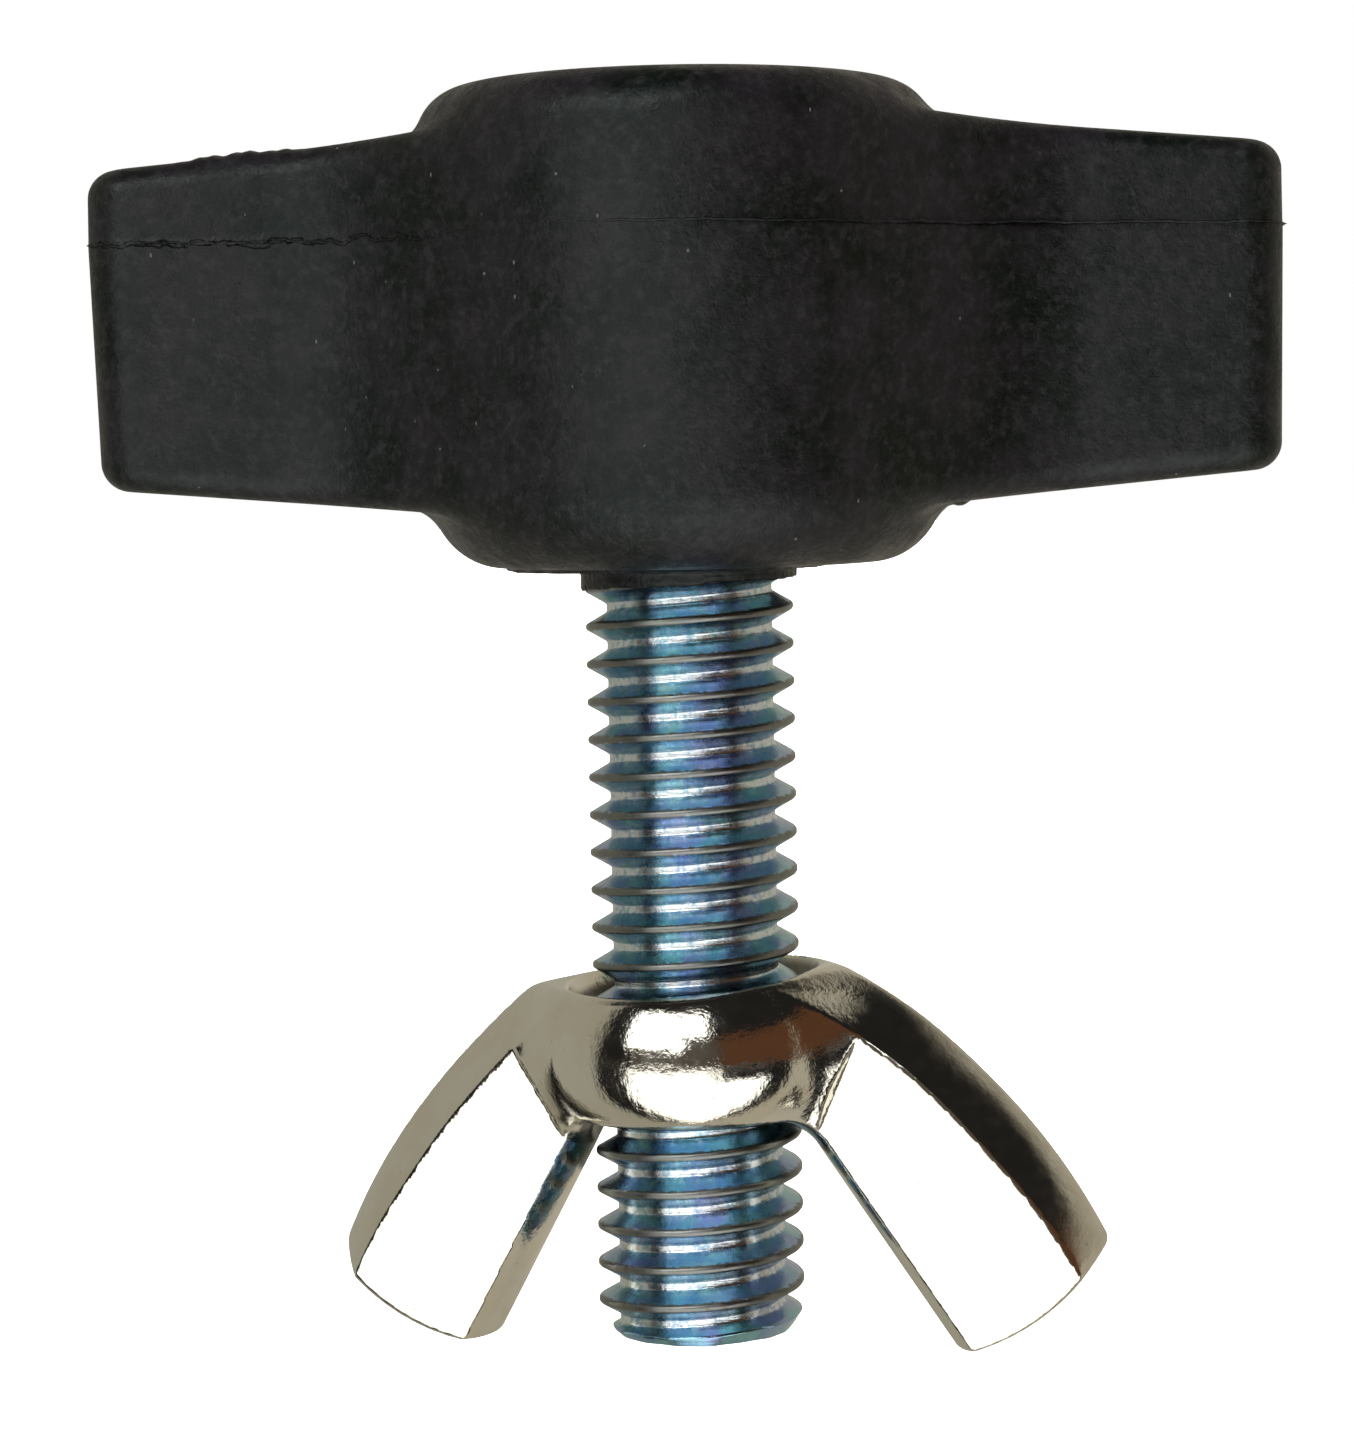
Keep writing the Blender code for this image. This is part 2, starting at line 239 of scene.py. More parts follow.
def surface(distance, low, high, step):
    """Vertices and quads of a distance function's zero level, by surface nets. Millimetres."""
    axes = [np.arange(a, b + step, step) for a, b in zip(low, high)]
    grid = np.meshgrid(*axes, indexing="ij")
    value = distance(*grid)
    inside = value < 0
    cells = [n - 1 for n in value.shape]
    total = np.zeros((*cells, 3))
    count = np.zeros(cells)
    corners = [(i, j, k) for i in (0, 1) for j in (0, 1) for k in (0, 1)]

    def at(array, corner):
        return array[tuple(slice(c, c + n) for c, n in zip(corner, cells))]

    for a in corners:
        for axis in range(3):
            if a[axis]:
                continue
            b = tuple(c + (i == axis) for i, c in enumerate(a))
            va = at(value, a)
            vb = at(value, b)
            crossed = (va < 0) != (vb < 0)
            share = np.where(crossed, va / np.where(crossed, va - vb, 1), 0)
            for i in range(3):
                place = a[i] + (share if i == axis else 0)
                total[..., i] += np.where(crossed, place, 0)
            count += crossed
    active = count > 0
    index = np.full(cells, -1)
    index[active] = np.arange(active.sum())
    where = np.argwhere(active)
    points = np.array(low) + (where + total[active] / count[active][:, None]) * step

    quads = []
    for axis in range(3):
        others = [(axis + 1) % 3, (axis + 2) % 3]
        take = [slice(None)] * 3
        take[axis] = slice(0, -1)
        ahead = [slice(None)] * 3
        ahead[axis] = slice(1, None)
        start = inside[tuple(take)]
        end = inside[tuple(ahead)]
        crossing = np.argwhere(start != end)
        u, v = others
        keep = (crossing[:, u] > 0) & (crossing[:, v] > 0)
        keep &= (crossing[:, u] < cells[u]) & (crossing[:, v] < cells[v])
        crossing = crossing[keep]
        ring = []
        for du, dv in ((-1, -1), (0, -1), (0, 0), (-1, 0)):
            cell = crossing.copy()
            cell[:, u] += du
            cell[:, v] += dv
            ring.append(index[tuple(cell.T)])
        quad = np.stack(ring, axis=1)
        outward = start[tuple(crossing.T)]
        quads.append(np.where(outward[:, None], quad, quad[:, ::-1]))
    return onto_surface(distance, points, step), np.concatenate(quads)


def new_piece(name, points, faces, body, material):
    """A smooth-shaded mesh object from points in millimetres, riding on a CAD body."""
    mesh = bpy.data.meshes.new(name)
    mesh.from_pydata((np.asarray(points) * MM).tolist(), [], np.asarray(faces).tolist())
    mesh.shade_smooth()
    mesh.materials.append(material)
    piece = bpy.data.objects.new(name, mesh)
    bpy.context.scene.collection.objects.link(piece)
    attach(piece, body)
    return piece


# ---------------------------------------------------------------- knob

def knob_plan(hub_x, wing_x, y, reach):
    """Plan of the knob at any height: the hub's circle and both wings, with concave fillets."""
    hub = np.hypot(hub_x, y) - HUB_RADIUS
    along = np.abs(wing_x)
    half = WING_HALF_THICKNESS - WING_TAPER * along
    wing = round_cut(np.abs(y) - half, along - reach, WING_END_ROUND)
    return round_join(hub, wing, WING_FILLET)


def lump(x, y, z, centre, size):
    """A small ellipsoid of flash."""
    parts = [(v - c) / s for v, c, s in zip((x, y, z), centre, size)]
    return (np.sqrt(parts[0] ** 2 + parts[1] ** 2 + parts[2] ** 2) - 1) * min(size)


def with_collar(body, x, y, z):
    """The body with the collar round the stud's root, and the ragged sheet of flash round that."""
    angle = np.arctan2(y, x)
    rag = waves(angle, (5, 1, 0.12), (13, 0, 0.07), (31, 0, 0.05))
    sheet_radius = SHEET_RADIUS - SHEET_SHIFT * np.cos(angle) + rag
    sheet = np.maximum(np.hypot(x, y) - sheet_radius, np.abs(z - SHEET_MIDDLE) - SHEET_HALF_THICKNESS)
    end = COLLAR_END + COLLAR_TILT * x + 0.3 * rag
    collar = np.maximum(np.hypot(x, y) - COLLAR_RADIUS, np.maximum(end - z, z - 1))
    return np.minimum(body, np.minimum(round_join(body, sheet, SHEET_FILLET), collar))


def knob_distance(x, y, z):
    """The whole moulding, with its upper mould half a little out of line with the lower."""
    z = z - HUB_BOTTOM
    upper = smooth_step(PARTING - MOULD_STEP_HALF_HEIGHT, PARTING + MOULD_STEP_HALF_HEIGHT, z)
    hub_x = x + MOULD_STEP_X * upper
    wing_y = y - MOULD_STEP_Y * upper
    r = np.hypot(hub_x, wing_y)
    draft = DRAFT * np.abs(z - PARTING)

    dome = HUB_DOME * (r / HUB_RADIUS) ** 2
    foot = FOOT_RISE * (np.maximum(r - FOOT_RADIUS, 0) / FOOT_RIM) ** 2
    round_radius = np.where(z > HUB_HEIGHT / 2, HUB_TOP_ROUND, HUB_BOTTOM_ROUND)
    side = r - (HUB_RADIUS - draft * HUB_DRAFT)
    hub = round_cut(side, np.maximum(z - (HUB_HEIGHT - dome), foot - z), round_radius)

    left = smooth_step(3, -9, x)
    below = np.maximum(PARTING - z, 0)
    reach = WING_REACH - left * (LEFT_WING_SHORT + LEFT_WING_UNDERCUT * below)
    slope = WING_SLOPE * (WING_REACH - np.abs(x))
    top = WING_TIP_TOP - LEFT_WING_DROP * left + slope
    ends = np.maximum(z - top, (WING_TIP_BOTTOM - slope) - z)
    layer = round_join(hub, ends, WING_ROOT_FILLET)
    plan = knob_plan(hub_x, x, wing_y, reach) + draft
    wings = round_cut(plan, layer, WING_EDGE_ROUND)

    body = with_collar(np.minimum(hub, wings), x, y, z)
    torn = 0.06 * np.sin(4.1 * x + 1.3 * y) + 0.05 * np.sin(9.7 * x - 3.1 * y)
    for centre, half_sizes, fillet, torn_share in LUMPS:
        height = z - torn * torn_share
        body = round_join(body, lump(x, y, height, centre, half_sizes), fillet)
    socket = np.where(z > SOCKET_DEPTH, -100, SOCKET_RADIUS - r)
    return np.maximum(body, socket)


def plan_outline(count):
    """Points evenly spaced along the moulding's outline at the parting plane."""
    angle = np.linspace(0, 2 * math.pi, 15 * count + 1)
    angle[-1] = 0
    low = np.full_like(angle, HUB_RADIUS / 2)
    high = np.full_like(angle, WING_REACH + HUB_RADIUS / 2)
    height = np.full_like(angle, HUB_BOTTOM + PARTING - 0.2)
    for _ in range(40):
        middle = (low + high) / 2
        inside = knob_distance(middle * np.cos(angle), middle * np.sin(angle), height) < 0
        low = np.where(inside, middle, low)
        high = np.where(inside, high, middle)
    x = low * np.cos(angle)
    y = low * np.sin(angle)
    run = np.concatenate([[0], np.cumsum(np.hypot(np.diff(x), np.diff(y)))])
    at = np.linspace(0, run[-1], count, endpoint=False)
    return np.interp(at, run, x), np.interp(at, run, y)


def ripple(count, seed, terms):
    """A closed wavy line of the given (waves, size) terms, with seeded phases."""
    random = np.random.default_rng(seed)
    angle = np.arange(count) / count * 2 * math.pi
    return waves(angle, *[(number, random.uniform(0, 2 * math.pi), size) for number, size in terms])


def make_flash_line(material):
    """The thin ragged line of flash all round the parting plane."""
    x, y = plan_outline(FLASH_STEPS)
    dx = np.roll(x, -1) - np.roll(x, 1)
    dy = np.roll(y, -1) - np.roll(y, 1)
    length = np.hypot(dx, dy)
    ragged = [(9, 0.01), (37, 0.012), (83, 0.012), (211, 0.012), (397, 0.01)]
    proud = FLASH_REACH + ripple(FLASH_STEPS, 3, ragged)
    from_end = np.hypot(x - WING_REACH, 0.7 * y)
    proud = proud + FLASH_SPIKE * np.exp(-(from_end**2) / FLASH_SPIKE_SPREAD)
    rise = 0.05 * np.sign(x) * smooth_step(10, 13, np.abs(x))
    rise = rise + ripple(FLASH_STEPS, 5, [(5, 0.05), (23, 0.02), (71, 0.012), (173, 0.01)])
    z = HUB_BOTTOM + PARTING + rise
    rows = []
    for inward, height, share in FLASH_SECTION:
        reach = proud * share - inward
        rows.append(np.stack([x + dy / length * reach, y - dx / length * reach, z + height], axis=1))
    points = np.stack(rows, axis=1).reshape(-1, 3)
    index = np.arange(len(points)).reshape(FLASH_STEPS, -1)
    across = np.roll(index, -1, axis=1)
    quads = [index, np.roll(index, -1, axis=0), np.roll(across, -1, axis=0), across]
    faces = np.stack([corner.T.reshape(-1) for corner in quads], axis=1)
    new_piece("knob_flash_line", points, faces, "knob", material)


def make_knob(material):
    """The moulding: hub, wings, collar and lumps of flash in one mesh."""
    low = (-WING_REACH - 0.5, -HUB_RADIUS - 0.5, HUB_BOTTOM - 1.2)
    high = (WING_REACH + 0.5, HUB_RADIUS + 0.5, HUB_BOTTOM + HUB_HEIGHT + 0.5)
    points, faces = surface(knob_distance, low, high, KNOB_STEP)
    knob = new_piece("knob_moulding", points, faces, "knob", material)
    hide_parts("knob_body")


# ---------------------------------------------------------------- stud

def thread_radius(phase):
    """Radius of the thread's surface at a phase of the pitch, with the crest at phase 0."""
    away = np.abs((phase + 0.5) % 1 - 0.5) * PITCH
    flank = MAJOR - (away - CREST_HALF_WIDTH) * math.sqrt(3)
    crest = MAJOR - CREST_CURVE * away**2
    root = MINOR + ROOT_CURVE * (PITCH / 2 - away) ** 2
    return np.maximum(np.minimum(flank, crest), root)


def crest_phase(angle, z):
    """Where a point stands in the thread's pitch: 0 on a crest. Right-handed."""
    return z / PITCH - (angle - math.pi) / (2 * math.pi) - CREST_AT_LEFT


def make_stud(material):
    """The threaded length, with a chamfered start, as one fine helical sheet closed at its tip."""
    steps = 96
    rows = 22
    top = HUB_BOTTOM + 1.0
    turns = math.ceil(top / PITCH) + 2
    angle = np.arange(steps * turns + 1)[:, None] / steps * 2 * math.pi
    phase = np.arange(rows) / rows
    base = (CREST_AT_LEFT - 0.5 - 2) * PITCH
    z = base + (angle / (2 * math.pi) + phase) * PITCH
    burr = waves(angle, (3, 1, 0.035), (7, 0, 0.02), (17, 2, 0.012))
    tip = TIP_DROP * (1 + 2 * burr)
    chamfer = TIP_RADIUS + burr + TIP_SLOPE * (z - tip)
    groove = thread_radius(crest_phase(angle, tip))
    end = np.minimum(TIP_RADIUS + burr, groove + TIP_STANDING)
    radius = np.where(z > tip, np.minimum(thread_radius(phase), chamfer), end)
    points = np.stack([radius * np.cos(angle), radius * np.sin(angle), np.clip(z, tip, top)], axis=-1)
    points = points.reshape(-1, 3)

    index = np.arange(len(points)).reshape(-1, rows)
    bands = [(index[:, k], index[:, k + 1]) for k in range(rows - 1)]
    bands.append((index[:-steps, -1], index[steps:, 0]))
    faces = [np.stack([low[:-1], low[1:], high[1:], high[:-1]], axis=1) for low, high in bands]
    faces = np.concatenate(faces)
    standing = ((z > tip) & (z < top)).reshape(-1)[faces].any(axis=1)

    centre = len(points)
    ring = np.arange(0, steps, 2)
    flat = centre + 1 + np.stack([(ring + 2) % steps, ring + 1, ring], axis=1)
    flat = np.insert(flat, 0, centre, axis=1)
    edge = points[index[:steps, 0]]
    points = np.concatenate([points, [(0, 0, TIP_DROP)], edge])
    faces = np.concatenate([faces[standing], flat])
    stud = new_piece("stud_thread", points, faces, "knob", material)
    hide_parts("stud")


# ---------------------------------------------------------------- wing nut

def chamfered(edge, face, inset, lean, radius):
    """An edge and a flat face with a wide chamfer between them that rounds into the edge."""
    chamfer = (edge + inset) * math.sin(lean) + face * math.cos(lean)
    return np.maximum(round_cut(edge, chamfer, radius), face)


def bevelled(edge, away, inset):
    """A wing's outer rim: a polished bevel beside the flat face, then a steeper flank to the edge."""
    face = away - NUT_HALF_THICKNESS
    bevel = (edge + inset) * math.sin(NUT_CHAMFER) + face * math.cos(NUT_CHAMFER)
    from_middle = np.hypot(away, NUT_FLANK_RIDGE)
    flank = edge * math.sin(NUT_FLANK) + from_middle * math.cos(NUT_FLANK)
    return np.maximum(round_cut(bevel, flank, NUT_RIM_ROUND), face)


def nut_bowl(r, z):
    """The hub's side: a bowl of two arcs that meet at its belly."""
    arcs = [np.hypot(r - middle, z - NUT_BELLY) - size for middle, size in (NUT_UPPER_BOWL, NUT_LOWER_BOWL)]
    return np.where(z > NUT_BELLY, *arcs)


def nut_blades(lean_x, away, z):
    """Both wings, seen as one blade that is mirrored but for a little unevenness of the casting."""
    along = np.abs(lean_x)
    uneven = np.sign(lean_x) * smooth_step(6, 9, along)
    back_radius = NUT_BACK_RADIUS + NUT_BACK_UNEVEN * uneven
    back = np.hypot(along - NUT_BACK_CENTRE[0], z - NUT_BACK_CENTRE[1]) - back_radius
    end_radius = NUT_END_RADIUS + NUT_END_UNEVEN * uneven
    end = np.hypot(along - NUT_END_CENTRE[0], z - NUT_END_CENTRE[1]) - end_radius
    inner = half_plane(NUT_INNER_EDGE, along, z)
    inset = NUT_BEVEL_INSET - NUT_BEVEL_NARROWING * smooth_step(10.5, 15.5, along)
    face = away - NUT_HALF_THICKNESS
    inner_edge = chamfered(inner, face, NUT_INNER_INSET, NUT_CHAMFER, NUT_INNER_ROUND)
    blade = np.maximum(bevelled(back, away, inset), inner_edge)
    blade = round_cut(blade, z - NUT_TOP - NUT_RIM, NUT_RIM_ROUND)
    return round_cut(blade, end, NUT_SMALL_ROUND)


def nut_bore(r, hub_r, angle, z, lean_z):
    """Space inside the nut: countersinks at its top and bottom, and a thread that clears the stud's."""
    mouth = (NUT_MOUTH_RADIUS - NUT_MOUTH_SLOPE * (NUT_TOP - lean_z)) - hub_r
    foot = (NUT_FOOT_RADIUS - np.maximum(z - NUT_BOTTOM, 0)) - r
    thread = thread_radius(crest_phase(angle, z)) + NUT_THREAD_GAP - r
    cones = np.maximum(0.9 * mouth, 0.8 * foot)
    return np.maximum(cones, np.maximum(0.6 * thread, NUT_BORE_RADIUS - r))


def nut_distance(x, y, z):
    """The one-piece casting: a bowl-shaped hub, two downswept wings and a threaded bore."""
    turn_x = x * math.cos(NUT_TURN) + y * math.sin(NUT_TURN)
    turn_y = -x * math.sin(NUT_TURN) + y * math.cos(NUT_TURN)
    above = z - NUT_LEAN_HEIGHT - y * math.sin(NUT_NOD)
    lean_x = turn_x * math.cos(NUT_LEAN) + above * math.sin(NUT_LEAN)
    lean_z = -turn_x * math.sin(NUT_LEAN) + above * math.cos(NUT_LEAN) + NUT_LEAN_HEIGHT
    hub_r = np.hypot(lean_x, turn_y)

    ends = np.maximum(lean_z - NUT_TOP - NUT_RIM, NUT_BOTTOM - z)
    hub = round_cut(nut_bowl(hub_r, lean_z), ends, 0.3)
    blades = nut_blades(lean_x, np.abs(turn_y), lean_z)
    top = lean_z - NUT_TOP - NUT_TOP_SLOPE * np.maximum(lean_x, 0)
    body = round_cut(round_join(hub, blades, NUT_HUB_FILLET), top, NUT_SMALL_ROUND)
    face = np.abs(turn_y) - NUT_HALF_THICKNESS
    facet_end = half_plane(NUT_FACET_END, np.abs(lean_x), lean_z)
    slant = NUT_FACET_SLANT[0] * face - NUT_FACET_SLANT[1] * facet_end
    body = np.maximum(body, np.minimum(face, slant))
    bore = nut_bore(np.hypot(x, y), hub_r, np.arctan2(y, x), z, lean_z)
    return round_cut(body, bore, 0.08)


def make_wing_nut(material):
    """The whole nut in one mesh, which rides on the body that turns."""
    low = (-16, -7.2, -1.6)
    high = (16.2, 7.2, NUT_TOP + 0.6)
    points, faces = surface(nut_distance, low, high, NUT_STEP)
    nut = new_piece("wing_nut_casting", points, faces, "wing_nut", material)
    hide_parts("wing_nut", "wing_nut_core")


# ---------------------------------------------------------------- materials

def plain(name, colour, roughness, metallic):
    material = bpy.data.materials.new(name)
    material.use_nodes = True
    shader = material.node_tree.nodes["Principled BSDF"]
    shader.inputs["Base Color"].default_value = (*colour, 1)
    shader.inputs["Roughness"].default_value = roughness
    shader.inputs["Metallic"].default_value = metallic
    return material


class Nodes:
    """Short calls for building the nodes of a material or a world."""

    def __init__(self, tree):
        self.nodes = tree.nodes
        self.links = tree.links

    def set(self, socket, value):
        if isinstance(value, bpy.types.NodeSocket):
            self.links.new(value, socket)
        elif isinstance(value, tuple) and len(socket.default_value) == 4:
            socket.default_value = (*value, 1)
        else:
            socket.default_value = value

    def math(self, operation, *values):
        node = self.nodes.new("ShaderNodeMath")
        node.operation = operation
        for socket, value in zip(node.inputs, values):
            self.set(socket, value)
        return node.outputs[0]

    def times(self, first, second):
        return self.math("MULTIPLY", first, second)

    def between(self, value, start, end, low=0.0, high=1.0):
        """Smoothly from low to high while the value goes from start to end."""
        node = self.nodes.new("ShaderNodeMapRange")
        node.interpolation_type = "SMOOTHSTEP"
        self.set(node.inputs["Value"], value)
        limits = {"From Min": start, "From Max": end, "To Min": low, "To Max": high}
        for name, number in limits.items():
            node.inputs[name].default_value = number
        return node.outputs["Result"]

    def band(self, value, low, high, soft):
        """1 where the value lies between low and high, with soft ends, and 0 elsewhere."""
        rise = self.between(value, low - soft, low + soft)
        fall = self.between(value, high + soft, high - soft)
        return self.times(rise, fall)

    def mix(self, first, second, share):
        node = self.nodes.new("ShaderNodeMix")
        node.data_type = "RGBA"
        self.set(node.inputs["A"], first)
        self.set(node.inputs["B"], second)
        self.set(node.inputs["Factor"], share)
        return node.outputs["Result"]

    def split(self, vector):
        node = self.nodes.new("ShaderNodeSeparateXYZ")
        self.links.new(vector, node.inputs[0])
        return node.outputs


class Look(Nodes):
    """Nodes of a material, whose textures are laid out in millimetres."""

    def __init__(self, material):
        super().__init__(material.node_tree)
        self.shader = self.nodes["Principled BSDF"]
        where = self.nodes.new("ShaderNodeTexCoord")
        scale = self.nodes.new("ShaderNodeVectorMath")
        scale.operation = "SCALE"
        scale.inputs["Scale"].default_value = 1 / MM
        self.links.new(where.outputs["Object"], scale.inputs[0])
        self.place = scale.outputs[0]

    def stretched(self, x, y, z):
        """The place with its axes multiplied, for features that are longer along an axis."""
        node = self.nodes.new("ShaderNodeVectorMath")
        node.operation = "MULTIPLY"
        self.links.new(self.place, node.inputs[0])
        node.inputs[1].default_value = (x, y, z)
        return node.outputs[0]

    def noise(self, size, detail=3.0, place=None, roughness=0.55):
        """Noise from 0 to 1 with features of about the given size."""
        node = self.nodes.new("ShaderNodeTexNoise")
        self.links.new(place or self.place, node.inputs["Vector"])
        node.inputs["Scale"].default_value = 1 / size
        node.inputs["Detail"].default_value = detail
        node.inputs["Roughness"].default_value = roughness
        return node.outputs["Fac"]

    def specks(self, size, reach, kept, place=None):
        """1 on scattered specks: cells of the given size, dots of the given reach, a share kept."""
        node = self.nodes.new("ShaderNodeTexVoronoi")
        self.links.new(place or self.place, node.inputs["Vector"])
        node.inputs["Scale"].default_value = 1 / size
        dot = self.between(node.outputs["Distance"], reach, reach * 0.6)
        split = self.nodes.new("ShaderNodeSeparateColor")
        self.links.new(node.outputs["Color"], split.inputs[0])
        return self.times(dot, self.math("LESS_THAN", split.outputs[0], kept))

    def crack(self, height):
        """0 in a hair crack that wanders about the given height on the -X side, 1 elsewhere."""
        place = self.split(self.place)
        wander = self.between(self.noise(size=1.1, detail=4.0), 0.3, 0.7, -0.16, 0.16)
        level = self.math("SUBTRACT", place["Z"], self.math("ADD", wander, height))
        near = self.between(self.math("ABSOLUTE", level), 0.10, 0.02)
        side = self.between(place["X"], -7.5, -10.5)
        return self.math("SUBTRACT", 1.0, self.times(near, side))

    def edgeways_to(self, direction, low, high):
        """0 on surfaces that face the direction, 1 on those edgeways to it; low and high are cosines."""
        where = self.nodes.new("ShaderNodeTexCoord")
        node = self.nodes.new("ShaderNodeVectorMath")
        node.operation = "DOT_PRODUCT"
        self.links.new(where.outputs["Normal"], node.inputs[0])
        node.inputs[1].default_value = direction
        return self.between(self.math("ABSOLUTE", node.outputs["Value"]), high, low)

    def bump(self, height, depth, under=None):
        """A bump of the given depth in millimetres, on top of another bump."""
        node = self.nodes.new("ShaderNodeBump")
        node.inputs["Strength"].default_value = 1.0
        node.inputs["Distance"].default_value = depth * MM
        self.links.new(height, node.inputs["Height"])
        if under is not None:
            self.links.new(under, node.inputs["Normal"])
        return node.outputs["Normal"]

    def radius(self):
        """Distance from the stud's axis."""
        place = self.split(self.place)
        squares = [self.times(place[i], place[i]) for i in (0, 1)]
        return self.math("SQRT", self.math("ADD", *squares))


def black_plastic():
    """Moulded black plastic: purple-grey and green-black mottling, dust specks and flow marks."""
    green_black = (0.0006, 0.0018, 0.0010)
    purple_black = (0.0056, 0.0043, 0.0057)
    purple_grey = (0.0170, 0.0145, 0.0165)
    dust_colour = (0.075, 0.075, 0.068)
    material = plain("black_plastic", (0.005, 0.005, 0.005), 0.4, 0)
    look = Look(material)
    look.shader.inputs["Specular IOR Level"].default_value = 0.26
    look.shader.inputs["Specular Tint"].default_value = (0.9, 1.0, 0.97, 1)
    broad = look.between(look.noise(size=4.5, detail=4.0, roughness=0.7), 0.38, 0.62)
    colour = look.mix(green_black, purple_black, broad)
    mottle = look.between(look.noise(size=0.42, detail=5.0, roughness=0.75), 0.45, 0.70)
    colour = look.mix(colour, purple_grey, look.times(mottle, 0.55))
    dust = look.specks(size=0.9, reach=0.075, kept=0.2)
    fibres = look.specks(size=0.8, reach=0.10, kept=0.07, place=look.stretched(1.6, 1.6, 0.8))
    light = look.math("MAXIMUM", dust, fibres)
    colour = look.mix(colour, dust_colour, look.times(light, 0.8))
    look.set(look.shader.inputs["Base Color"], colour)

    flow = look.noise(size=1.3, detail=5.0, place=look.stretched(1.0, 1.0, 0.4), roughness=0.7)
    satin = look.between(flow, 0.3, 0.7, 0.30, 0.50)
    grain = look.between(look.noise(size=0.16, detail=3.0), 0.3, 0.7, -0.06, 0.08)
    look.set(look.shader.inputs["Roughness"], look.math("ADD", satin, grain))
    normal = look.bump(flow, depth=0.03)
    normal = look.bump(look.noise(size=0.6, detail=5.0, roughness=0.75), depth=0.045, under=normal)
    normal = look.bump(look.noise(size=0.14, detail=4.0), depth=0.016, under=normal)
    normal = look.bump(look.crack(HUB_BOTTOM + PARTING - 0.12), depth=0.09, under=normal)
    look.set(look.shader.inputs["Normal"], normal)
    return material


def blue_zinc():
    """Zinc plate with blue passivation: blue, violet and straw, worn grey crests, bright roots."""
    blue = (0.20, 0.36, 0.52)
    blue_green = (0.26, 0.48, 0.52)
    violet = (0.33, 0.34, 0.60)
    straw = (0.44, 0.50, 0.40)
    pale = (0.60, 0.63, 0.64)
    worn_grey = (0.19, 0.18, 0.155)
    root_silver = (0.74, 0.76, 0.78)
    dirt_brown = (0.14, 0.13, 0.12)
    material = plain("blue_zinc", (0.36, 0.46, 0.56), 0.25, 1)
    look = Look(material)
    tint = look.between(look.noise(size=1.3, detail=3.0), 0.35, 0.65)
    colour = look.mix(blue, blue_green, tint)
    tall = look.stretched(1, 1, 0.6)
    share = look.between(look.noise(size=1.9, detail=3.0, place=tall), 0.46, 0.66)
    colour = look.mix(colour, violet, look.times(share, 0.65))
    flat = look.stretched(0.7, 0.7, 1.6)
    share = look.between(look.noise(size=1.1, detail=4.0, place=flat), 0.56, 0.74)
    colour = look.mix(colour, straw, look.times(share, 0.6))
    around = look.stretched(0.05, 0.05, 1.0)
    streak = look.noise(size=0.11, detail=4.0, place=around, roughness=0.7)
    colour = look.mix(colour, pale, look.between(streak, 0.60, 0.80, 0.0, 0.5))
    radius = look.radius()
    uneven = look.between(look.noise(size=0.25, detail=4.0), 0.2, 0.8, -0.09, 0.09)
    ragged = look.math("ADD", radius, uneven)
    worn = look.between(ragged, MAJOR - 0.16, MAJOR - 0.06)
    colour = look.mix(colour, worn_grey, look.times(worn, 0.9))
    bright = look.between(ragged, MINOR + 0.09, MINOR - 0.02)
    colour = look.mix(colour, root_silver, look.times(bright, 0.8))
    dirt = look.between(look.noise(size=0.4, detail=4.0), 0.60, 0.72)
    dirty_crest = look.times(dirt, look.times(worn, 0.8))
    colour = look.mix(colour, dirt_brown, dirty_crest)
    look.set(look.shader.inputs["Base Color"], colour)

    rough = look.between(look.noise(size=0.5, detail=4.0), 0.3, 0.7, 0.17, 0.30)
    rough = look.math("ADD", rough, look.times(worn, 0.12))
    look.set(look.shader.inputs["Roughness"], rough)
    normal = look.bump(streak, depth=0.012)
    normal = look.bump(look.noise(size=0.18, detail=4.0), depth=0.008, under=normal)
    look.set(look.shader.inputs["Normal"], normal)
    return material


def nickel_plate():
    """Bright nickel on a casting: warm, with a faint orange peel and pits; the bore is rougher and darkened
    with painted shade.
    """
    pale_nickel = (0.70, 0.68, 0.615)
    warm_nickel = (0.66, 0.625, 0.535)
    pit_brown = (0.20, 0.18, 0.14)
    # painted shade for the inside of the bore
    bore_painted_shade = (0.12, 0.115, 0.09)
    material = plain("nickel_plate", (0.70, 0.67, 0.60), 0.1, 1)
    look = Look(material)
    warm = look.between(look.noise(size=2.2, detail=3.0), 0.35, 0.65)
    colour = look.mix(pale_nickel, warm_nickel, warm)
    pits = look.specks(size=0.5, reach=0.10, kept=0.22)
    colour = look.mix(colour, pit_brown, look.times(pits, 0.45))
    # Painted shade: the colour darkens inside the bore, towards the stud's axis, where shade falls in the
    # hole; the same mask also makes the bore rougher below.
    bore = look.between(look.radius(), 4.70, 4.50)
    colour = look.mix(colour, bore_painted_shade, look.times(bore, 0.9))
    look.set(look.shader.inputs["Base Color"], colour)

    rough = look.between(look.noise(size=0.6, detail=4.0), 0.35, 0.7, 0.07, 0.15)
    rough = look.math("ADD", rough, look.times(bore, 0.25))
    across_wings = (math.sin(NUT_TURN), -math.cos(NUT_TURN), 0)
    edgeways = look.edgeways_to(across_wings, 0.40, 0.62)
    wing = look.between(look.radius(), 6.2, 7.2)
    rough = look.math("ADD", rough, look.times(look.times(edgeways, wing), 0.26))
    look.set(look.shader.inputs["Roughness"], rough)
    flat = look.times(wing, look.math("SUBTRACT", 1.0, edgeways))
    uneven = look.math("SUBTRACT", 1.0, look.times(flat, 0.8))
    normal = look.bump(look.times(look.noise(size=0.42, detail=3.0), uneven), depth=0.018)
    peel = look.times(look.noise(size=0.12, detail=3.0), uneven)
    normal = look.bump(peel, depth=0.0055, under=normal)
    look.set(look.shader.inputs["Normal"], normal)
    return material


# ---------------------------------------------------------------- stage

